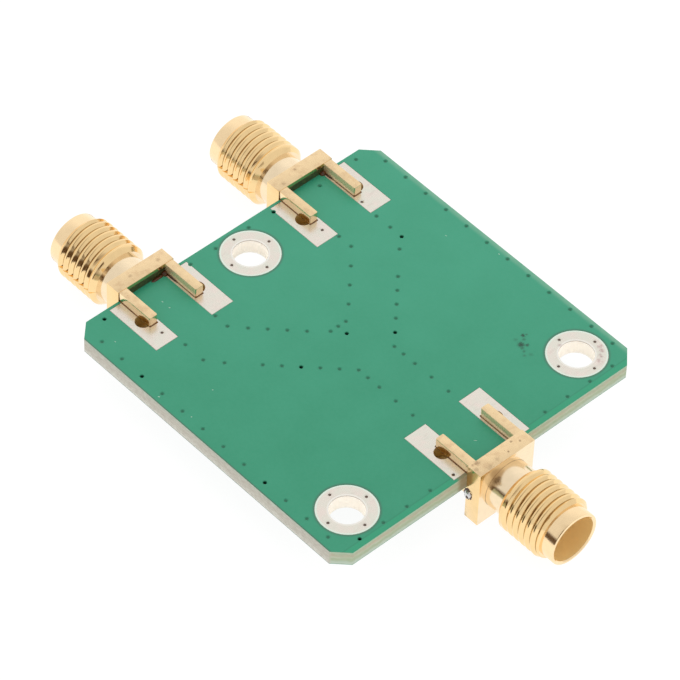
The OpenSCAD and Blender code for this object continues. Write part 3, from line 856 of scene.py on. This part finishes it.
# Section of the flux in a lead hole: shares of the hole's radius, and heights in mm
HOLE_FLUX = ((0.2, 0.1), (0.985, 0.14), (0.985, 0.32), (0.8, 0.24), (0.5, 0.19), (0.2, 0.17))
HOLE_STEPS = 32


def hole_flux_mesh():
    """Dished skins of flux that close the lead holes near the lower face."""
    bm = bmesh.new()
    for side in (-1, 1):
        rings = []
        for share, rise in HOLE_FLUX:
            r, z = share * LEAD_HOLE_R, TAIL_SEAT + rise * MM
            rings.append([(r * math.cos(a) - LEAD_HOLE_IN, side * LEG_Y[1] + r * math.sin(a), z)
                          for a in circle(HOLE_STEPS)])
        add_rings(bm, rings)
    return as_mesh(bm, "hole_flux")


def make_jacks():
    for jack in JACKS:
        matrix = jack_matrix(jack)
        dress(jack + "_jack", shell_mesh(), SHELL_FINISHES, (jack + "_shell",), matrix)
        dress(jack + "_socket", contact_mesh(), (GOLD_TURNED,), (jack + "_contact",), matrix)
        dress(jack + "_leg_fillets", leg_solder_mesh(), (SOLDER,),
              (jack + "_leg_solder",), matrix, FLOWED)
        dress(jack + "_tail_bed", tail_solder_mesh(), (SOLDER,),
              (jack + "_tail_solder",), matrix, FLOWED)
        dress(jack + "_flux_and_shade_seams", seam_mesh(), (SEAM_FLUX_AND_SHADE,), (), matrix)
        dress(jack + "_flux_and_shade_film", foot_flux_and_shade_mesh(), (FLUX_AND_SHADE_FILM,), (), matrix)
        dress(jack + "_hole_flux", hole_flux_mesh(), (BARREL,), (), matrix, FLOWED)
        paint(PTFE, jack + "_insulator")


# Board

# Spacing below which points belong to the same via
VIA_APART = 0.6 * MM


def via_places():
    """Middles of the vias, from the solid plugs."""
    points = np.array([v.co for v in NODES["via_plugs"].data.vertices])
    top = points[points[:, 2] > points[:, 2].max() - NEAR][:, :2]
    places = []
    while len(top):
        near = np.linalg.norm(top - top[0], axis=1) < VIA_APART
        places.append((top[near].min(0) + top[near].max(0)) / 2)
        top = top[~near]
    return places


# Vias that the mask left open, in mm, and how far from the listed place one may lie
OPEN_VIAS = ((-9.4, -16.6), (6.6, -16.5), (16.4, -14.6), (-16.4, -14.6), (-1.1, -5.5), (-1.4, 0.2),
             (-6.8, 11.8), (1.1, 3.5), (16.6, -4.0), (-16.5, 5.1))
OPEN_NEAR = 0.7
# A via is in tin where the tin has a hole round it: how near its edge lies, and how well centred
TIN_NEAR = 1.3 * VIA_R
TIN_CENTRED = 0.3 * VIA_R
# Sections of a tented via, an open one, and a closed and an open one in tin: distance from the
# middle and depth, in mm
DIMPLE = ((0.222, 0.001), (0.2, 0.008), (0.16, 0.035), (0.1, 0.07), (0.04, 0.085))
OPENING = ((0.222, 0.001), (0.2, 0.01), (0.17, 0.04), (0.16, 0.4), (0.05, 0.45))
PLATED = ((0.222, 0.001), (0.16, 0.003), (0.135, 0.03), (0.12, 0.1), (0.04, 0.12))
PLATED_OPEN = ((0.222, 0.001), (0.16, 0.003), (0.135, 0.03), (0.12, 0.4), (0.04, 0.45))
PLATED_RIM = 0.14 * MM
VIA_STEPS = 20
VIA_FINISHES = (VIA, TIN, OPEN_VIA_BROWN)


def make_vias():
    """Vias as dimples in the mask, as open holes, or as small holes through the tin."""
    tin = np.array([v.co[:2] for name in TIN_NODES for v in NODES[name].data.vertices])
    bm = bmesh.new()
    for x, y in via_places():
        round_hole = tin[np.linalg.norm(tin - (x, y), axis=1) < TIN_NEAR]
        in_tin = len(round_hole) > 0 and np.linalg.norm(round_hole.mean(0) - (x, y)) < TIN_CENTRED
        is_open = any(math.hypot(x / MM - a, y / MM - b) < OPEN_NEAR for a, b in OPEN_VIAS)
        upper = (PLATED_OPEN if in_tin else OPENING) if is_open else PLATED if in_tin else DIMPLE
        section = [(r * MM, UPPER_Z - d * MM) for r, d in upper][::-1]
        section += [(r * MM, LOWER_Z + d * MM) for r, d in DIMPLE]
        rings = [[(x + r * math.cos(a), y + r * math.sin(a), z) for a in circle(VIA_STEPS)]
                 for r, z in section]
        for face in add_rings(bm, rings):
            middle = face.calc_center_median()
            if in_tin and middle.z > (UPPER_Z + LOWER_Z) / 2:
                on_rim = math.hypot(middle.x - x, middle.y - y) > PLATED_RIM
                face.material_index = VIA_FINISHES.index(TIN if on_rim else OPEN_VIA_BROWN)
    dress("vias", as_mesh(bm, "vias"), VIA_FINISHES, ("via_plugs",), sharp=FLOWED)


CHIP_FINISHES = (CERAMIC, GLAZE)


def make_resistors():
    """Chip resistors: ceramic with a glazed outer face, and end caps."""
    end, side, bevel = RESISTOR_IN + RESISTOR_L, RESISTOR_W / 2, 0.4 * GLAZE_T
    caps = ((RESISTOR_IN, RESISTOR_IN + CAP_L), (end - CAP_L, end))
    for name, angle in RESISTORS:
        matrix = Matrix.Translation((*STAR, LOWER_Z)) @ Matrix.Rotation(math.radians(angle), 4, "Z")
        bm = bmesh.new()
        add_box(bm, (RESISTOR_IN + GLAZE_T, -side, GLAZE_T - RESISTOR_T),
                (end - GLAZE_T, side, -0.2 * GLAZE_T), bevel)
        ceramic_faces = len(bm.faces)
        add_box(bm, (RESISTOR_IN + CAP_L - GLAZE_LAP, GLAZE_T - side, -RESISTOR_T),
                (end - CAP_L + GLAZE_LAP, side - GLAZE_T, -GLAZE_DEPTH), bevel)
        for index, face in enumerate(bm.faces):
            face.material_index = CHIP_FINISHES.index(CERAMIC if index < ceramic_faces else GLAZE)
        dress(name + "_chip", as_mesh(bm, "chip"), CHIP_FINISHES,
              (name + "_resistor",), matrix)
        bm = bmesh.new()
        for cap_start, cap_end in caps:
            add_box(bm, (cap_start, -side, -RESISTOR_T), (cap_end, side, 0), CAP_BEVEL)
        dress(name + "_chip_caps", as_mesh(bm, "caps"), (SOLDER,),
              (name + "_resistor_caps",), matrix)


# Specks on the mask: place, length and width in mm, and angle in degrees
PALE_MARKS = ((-6.53, -16.98, 0.2, 0.1, 45), (-2.97, -16.38, 0.15, 0.08, 20),
              (-13.84, -15.68, 0.15, 0.08, 0), (-4.11, -12.97, 0.13, 0.08, 60),
              (14.92, 0.19, 0.3, 0.06, 45), (-14.72, -9.49, 0.18, 0.08, 10),
              (-13.78, -9.49, 0.16, 0.08, 50), (-4.3, 14.74, 0.2, 0.06, 30), (0.4, 16.78, 0.2, 0.06, 0))
MARK_T = 0.012 * MM
# Flux left in the corners between a flange and a leg root: place, length, width and height in mm
FLUX_DROPS = ((-17.15, -7.16, 0.7, 0.7, 0.28), (-16.3, -7.02, 1.7, 0.2, 0.1), (-17.1, -8.0, 0.4, 1.4, 0.1),
              (-17.15, 11.64, 0.7, 0.7, 0.28), (-16.6, 11.78, 1.1, 0.2, 0.1))
# Drop of solder on the near side of the input flange, with flux round it and on it:
# place in mm, length, width and height in mm, and finish
SPILLS = (("spilt_flux", (17.53, -3.0, 3.03), (0.95, 1.3, 0.05), FLUX),
          ("spilt_solder", (17.55, -3.0, 3.0), (0.75, 1.05, 0.28), SOLDER),
          ("spilt_speck", (17.66, -3.2, 2.95), (0.3, 0.4, 0.12), FLUX))


def lying(x, y, z, angle=0):
    return Matrix.Translation((x * MM, y * MM, z)) @ Matrix.Rotation(math.radians(angle), 4, "Z")


def make_marks():
    bm = bmesh.new()
    for seed, (x, y, length, width, angle) in enumerate(PALE_MARKS):
        add_drop(bm, lying(x, y, UPPER_Z, angle), length * MM, width * MM, MARK_T, seed)
    dress("pale_marks", as_mesh(bm, "pale_marks"), (PALE_MARK,), sharp=FLOWED)
    bm = bmesh.new()
    for seed, (x, y, length, width, height) in enumerate(FLUX_DROPS):
        add_drop(bm, lying(x, y, UPPER_Z), length * MM, width * MM, height * MM, seed)
    dress("flux_drops", as_mesh(bm, "flux_drops"), (FLUX,), sharp=FLOWED)
    for seed, (name, place, (length, width, height), finish) in enumerate(SPILLS):
        bm = bmesh.new()
        upright = Matrix.Translation(Vector(place) * MM) @ Matrix.Rotation(math.pi / 2, 4, "X")
        add_drop(bm, upright, length * MM, width * MM, height * MM, seed)
        dress(name, as_mesh(bm, name), (finish,), sharp=FLOWED)


def make_board():
    paint(MASK, "ground_mask", "component_mask")
    paint(LAMINATE, "laminate")
    paint(TIN, "upper_rings", "lower_rings", "input_line", "left_line", "right_line", "star_pad")
    for jack in JACKS:
        paint(TIN, jack + "_upper_pads", jack + "_lower_pads")
    paint(BARREL, "lead_hole_barrels")
    make_vias()
    make_resistors()
    make_marks()


# Studio

def make_camera():
    azimuth, elevation, roll = (math.radians(a) for a in (VIEW_AZIMUTH, VIEW_ELEVATION, VIEW_ROLL))
    flat_right = Vector((math.cos(azimuth), math.sin(azimuth), 0))
    back = Vector((math.sin(azimuth) * math.cos(elevation), -math.cos(azimuth) * math.cos(elevation),
                   math.sin(elevation)))
    flat_up = back.cross(flat_right)
    right = math.cos(roll) * flat_right + math.sin(roll) * flat_up
    up = math.cos(roll) * flat_up - math.sin(roll) * flat_right
    place = VIEW_DISTANCE * back - VIEW_OFFSET[0] * right - VIEW_OFFSET[1] * up
    data = bpy.data.cameras.new("camera")
    data.lens = VIEW_FOCAL_PX / FRAME_PX * data.sensor_width
    data.clip_start, data.clip_end = VIEW_CLIP
    camera = bpy.data.objects.new("camera", data)
    turn = Matrix((right, up, back)).transposed().to_4x4()
    camera.matrix_world = Matrix.Translation(place * MM + Vector((0, 0, UPPER_Z))) @ turn
    bpy.context.scene.collection.objects.link(camera)
    bpy.context.scene.camera = camera


def add_sheet(name, corners):
    """One flat face of the studio."""
    mesh = bpy.data.meshes.new(name)
    mesh.from_pydata(corners, [], [(0, 1, 2, 3)])
    sheet = bpy.data.objects.new(name, mesh)
    bpy.context.scene.collection.objects.link(sheet)
    return sheet


# Floor: half its width in metres, its colours in the light and in the shadow, and its glow for the eye
FLOOR_HALF = 0.7
FLOOR_LIT = (0.8, 0.8, 0.8, 1)
FLOOR_SHADED = (0.14, 0.14, 0.14, 1)
FLOOR_GLOW = 0.93


def make_floor():
    """White floor: it glows for the eye and for the metal, and keeps a soft shadow."""
    half = FLOOR_HALF
    floor = add_sheet("floor", [(-half, -half, 0), (half, -half, 0), (half, half, 0), (-half, half, 0)])
    f = Finish("floor_white")
    path = f.node("ShaderNodeLightPath").outputs
    shown = f.math("MAXIMUM", path["Is Camera Ray"], path["Is Glossy Ray"])
    shown = f.math("MAXIMUM", shown, path["Is Transmission Ray"])
    lit = f.node("ShaderNodeBsdfDiffuse")
    lit.inputs["Color"].default_value = FLOOR_LIT
    shaded = f.node("ShaderNodeBsdfDiffuse")
    shaded.inputs["Color"].default_value = FLOOR_SHADED
    level = f.node("ShaderNodeMapRange")
    f.feed(level.inputs["Value"], path["Is Glossy Ray"])
    level.inputs["To Min"].default_value = FLOOR_GLOW
    glow = f.node("ShaderNodeEmission")
    f.feed(glow.inputs["Strength"], level.outputs["Result"])
    bright = f.node("ShaderNodeAddShader")
    f.feed(bright.inputs[0], shaded.outputs[0])
    f.feed(bright.inputs[1], glow.outputs[0])
    f.show(f.blend(shown, lit.outputs[0], bright.outputs[0]))
    floor.data.materials.append(f.material)


# Dark cards that only the metal shows, one low along the near side and one upright past the input
# edge: middle and half sizes
CARDS = (("near_card", (10 * MM, -60 * MM, 10 * MM), (45 * MM, 22 * MM)),
         ("input_card", (41 * MM, -61 * MM, 72 * MM), (17 * MM, 62 * MM)))
CARD_COLOUR = (0.1, 0.06, 0.03, 1.0)
# Shares of a card's half sizes up to which it is solid
CARD_SOLID = (0.6, 0.4)


def make_card(name, place, half):
    """A dark card with soft edges."""
    wide, tall = half
    card = add_sheet(name, [(-wide, 0, -tall), (wide, 0, -tall), (wide, 0, tall), (-wide, 0, tall)])
    card.location = place
    f = Finish(name + "_dark")
    across = f.math("ABSOLUTE", f.times(f.x, 1 / wide))
    up = f.math("ABSOLUTE", f.times(f.z, 1 / tall))
    solid = f.times(f.band(across, 1.0, CARD_SOLID[0]), f.band(up, 1.0, CARD_SOLID[1]))
    clear = f.node("ShaderNodeBsdfTransparent")
    dark = f.node("ShaderNodeEmission")
    dark.inputs["Color"].default_value = CARD_COLOUR
    f.show(f.blend(solid, clear.outputs[0], dark.outputs[0]))
    card.data.materials.append(f.material)
    card.visible_camera = card.visible_diffuse = False
    card.visible_shadow = card.visible_transmission = False


# The room: its colour in front of and behind the object, and where the one turns into the other
ROOM_FRONT = (0.86, 0.86, 0.86, 1.0)
ROOM_BACK = (1.06, 1.06, 1.06, 1.0)
TO_BACK = (-0.718, 0.696, 0.0)
ROOM_TURN = (0.2, 0.95)
# Darker patch of the room, round the camera: azimuth in degrees from +X, height of its middle, half
# sizes along its line of sight, across and up, soft edge in shares of them, and colour
PATCH_AZIMUTH = -44
PATCH_HEIGHT = 0.74
PATCH_HALF = (1000, 0.4, 0.3)
PATCH_EDGE = (1.25, 0.5)
PATCH_AHEAD = (0.0, 0.15)
PATCH_COLOUR = (0.5, 0.46, 0.42, 1.0)
# Soft lamp over the object: place and width in metres, and power in watts
LAMP_PLACE = Vector((-0.15, 0.1, 0.9))
LAMP_W = 0.7
LAMP_POWER = 0.8


def make_room():
    """A bright room, darker towards the camera."""
    world = bpy.data.worlds.new("studio")
    bpy.context.scene.world = world
    world.use_nodes = True
    room = Nodes(world.node_tree)
    place = room.node("ShaderNodeTexCoord").outputs["Generated"]
    behind = room.band(room.vector("DOT_PRODUCT", place, TO_BACK), *ROOM_TURN)
    angle = math.radians(PATCH_AZIMUTH)
    turned = room.node("ShaderNodeMapping", vector_type="TEXTURE")
    room.feed(turned.inputs["Vector"], place)
    turned.inputs["Location"].default_value = (0, 0, PATCH_HEIGHT)
    turned.inputs["Rotation"].default_value = (0, 0, angle)
    turned.inputs["Scale"].default_value = PATCH_HALF
    away = room.vector("LENGTH", turned.outputs[0], (0, 0, 0))
    ahead = room.vector("DOT_PRODUCT", place, (math.cos(angle), math.sin(angle), 0))
    patch = room.times(room.band(away, *PATCH_EDGE), room.band(ahead, *PATCH_AHEAD))
    colour = room.mix(patch, room.mix(behind, ROOM_FRONT, ROOM_BACK), PATCH_COLOUR)
    room.feed(room.tree.nodes["Background"].inputs["Color"], colour)


def make_lamp():
    """A large soft lamp that the metal doesn't show."""
    lamp = bpy.data.lights.new("softbox", "AREA")
    lamp.shape = "RECTANGLE"
    lamp.size = lamp.size_y = LAMP_W
    lamp.energy = LAMP_POWER
    softbox = bpy.data.objects.new("softbox", lamp)
    softbox.location = LAMP_PLACE
    softbox.rotation_euler = (-LAMP_PLACE).to_track_quat("-Z", "Y").to_euler()
    softbox.visible_glossy = False
    bpy.context.scene.collection.objects.link(softbox)


make_jacks()
make_board()
make_camera()
make_floor()
for card_name, card_place, card_half in CARDS:
    make_card(card_name, card_place, card_half)
make_room()
make_lamp()
bpy.context.scene.view_settings.view_transform = "Standard"
